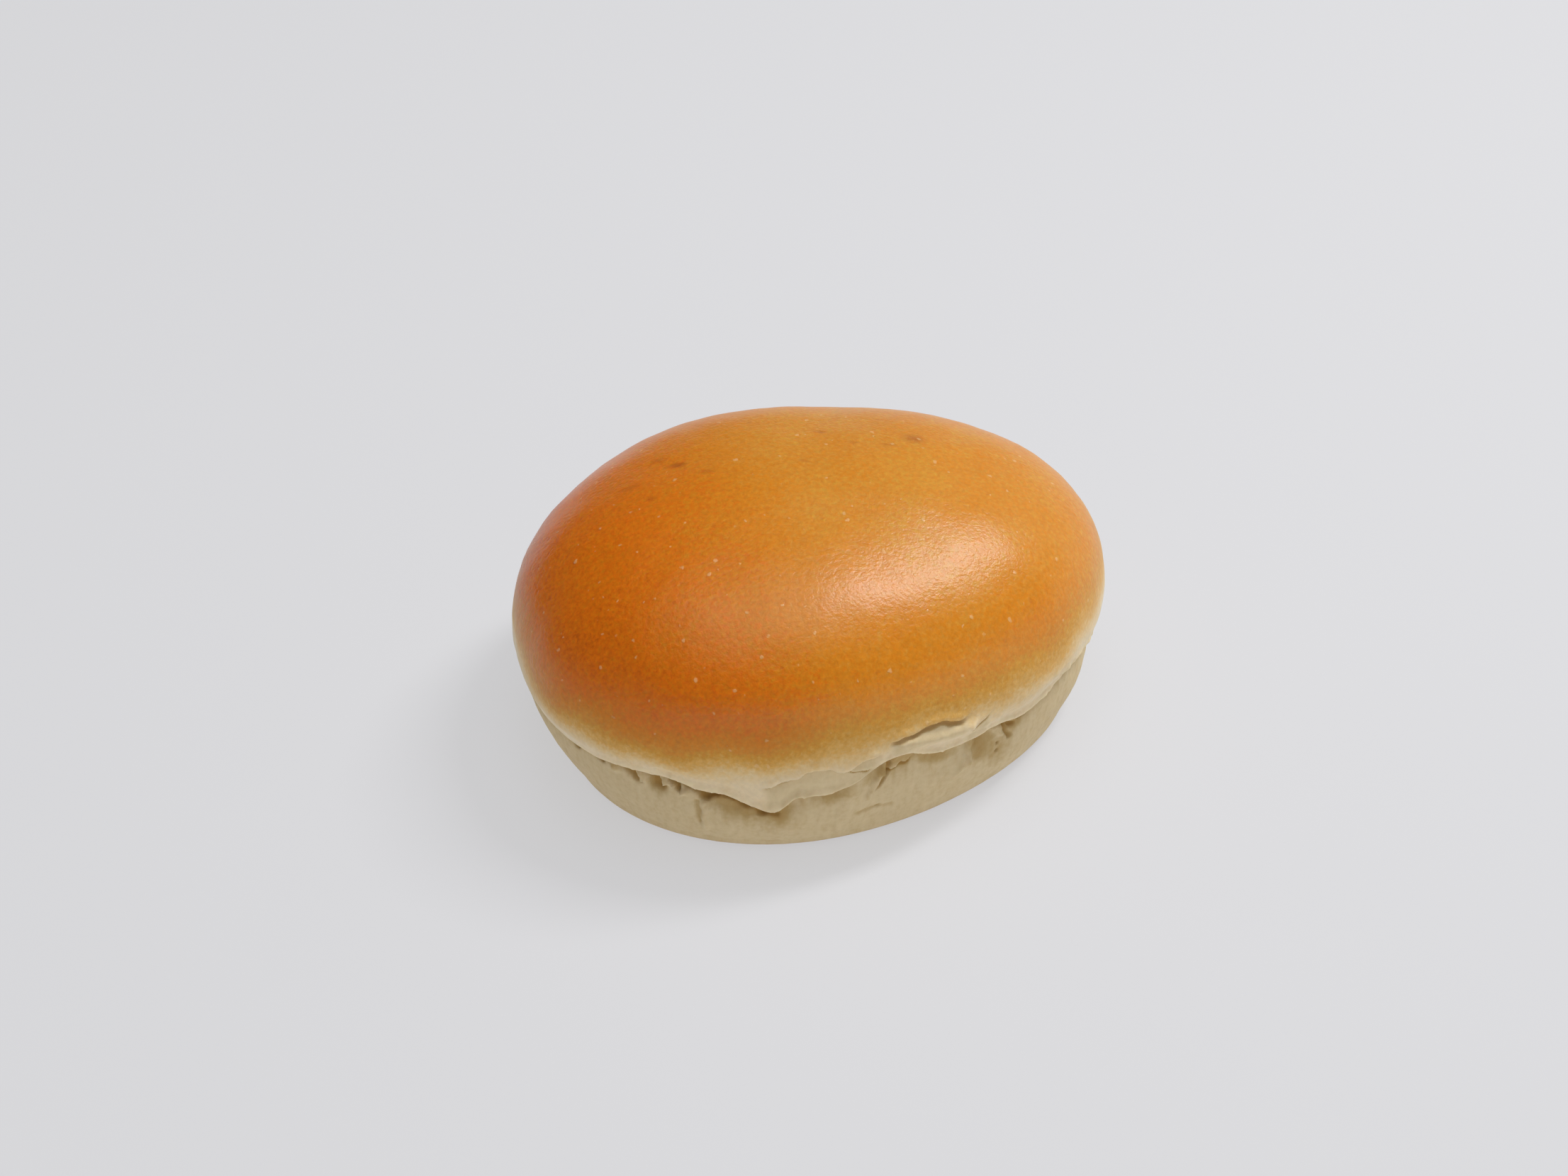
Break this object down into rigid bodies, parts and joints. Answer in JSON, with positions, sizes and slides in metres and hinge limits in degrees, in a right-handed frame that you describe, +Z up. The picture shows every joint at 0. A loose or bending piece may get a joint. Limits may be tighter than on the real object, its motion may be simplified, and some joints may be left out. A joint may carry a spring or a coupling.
{
  "type": "bread roll",
  "caption": "Oval soft bread roll with a glazed, browned dome over a pale side wall, split along the seam between them and flat underneath.",
  "frame": {"origin": "centre of the bounding box's bottom face, on the surface the roll stands on", "axes": "+X along the roll's long axis, +Y across its width, +Z up through the dome"},
  "size_m": [0.117, 0.093, 0.054],
  "materials": {
    "crust": "satin"
  },
  "bodies": {
    "root": {"bread_roll": "crust"}
  },
  "joints": []
}
